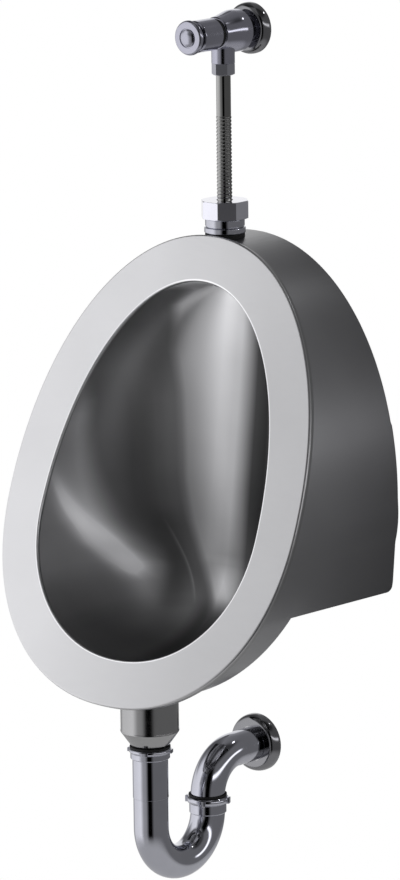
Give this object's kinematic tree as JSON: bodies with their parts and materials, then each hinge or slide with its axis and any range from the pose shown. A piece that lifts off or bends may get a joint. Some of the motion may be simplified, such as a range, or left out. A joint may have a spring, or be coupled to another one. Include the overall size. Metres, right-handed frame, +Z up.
{
  "type": "wall hung urinal",
  "caption": "Wall hung urinal of pressed stainless steel with a tilted oval rim, push flush valve, ribbed flush tube and chromed trap",
  "frame": {"origin": "middle of the two upper wall bolts, on the wall", "axes": "+X across, to the right for a user who faces the object, +Y into the wall, +Z up"},
  "size_m": [0.402, 0.273, 0.9471],
  "materials": {
    "satin_steel": "fine satin",
    "brushed_steel_dark": "brushed, grey",
    "brushed_steel_pot": "turned and brushed",
    "zinc_steel": "dull, rolled sheet",
    "chrome_bright": "polished",
    "chrome_valve": "polished, bluish grey",
    "brass_raw": "turned, dull",
    "spring_steel": "drawn wire",
    "black_rubber": "matt"
  },
  "bodies": {
    "fixture": {"rim_frame": "satin_steel", "bowl": "brushed_steel_dark", "side_skirt": "brushed_steel_dark", "hanger_rail": "zinc_steel", "wall_bracket": "zinc_steel", "fixing_tabs": "zinc_steel", "drain_cup": "brushed_steel_pot", "drain_strainer": "satin_steel", "strainer_screw": "satin_steel", "trap_inlet_washer": "black_rubber", "trap_inlet_nut": "chrome_bright", "trap_inlet_sleeve": "chrome_bright", "trap_j_bend": "chrome_bright", "trap_outlet_washer": "black_rubber", "trap_outlet_nut": "chrome_bright", "trap_wall_arm": "chrome_bright", "trap_wall_flange": "chrome_bright", "flush_tube": "chrome_bright", "coupling_washer": "black_rubber", "coupling_nut": "chrome_bright", "inlet_spud": "chrome_bright", "spud_gasket": "black_rubber", "spud_locknut": "brass_raw", "flush_spreader": "chrome_bright", "valve_wall_flange": "chrome_bright", "supply_nipple": "chrome_bright", "valve_body": "chrome_valve", "bonnet": "chrome_valve", "bonnet_seal": "black_rubber", "stem_o_ring": "black_rubber", "return_spring": "spring_steel", "outlet_nut": "chrome_bright", "outlet_olive": "brass_raw"},
    "button": {"push_button": "chrome_bright", "button_dome": "chrome_bright", "plunger_stem": "satin_steel", "dashpot_cup": "black_rubber", "poppet": "brass_raw", "poppet_seal": "black_rubber"},
    "screw": {"flow_screw": "satin_steel"}
  },
  "joints": [
    {"name": "button_push", "type": "slide", "parent": "fixture", "child": "button", "axis": [0, 1, 0], "range_m": [0, 0.005], "stiffness_N_per_m": 600, "springref_m": -0.01, "deforming": ["return_spring"]},
    {"name": "flow_screw_turn", "type": "hinge", "parent": "fixture", "child": "screw", "pos_m": [0, -0.028, 0.302], "axis": [0.7071, 0, 0.7071], "range_deg": [-360, 360]}
  ]
}
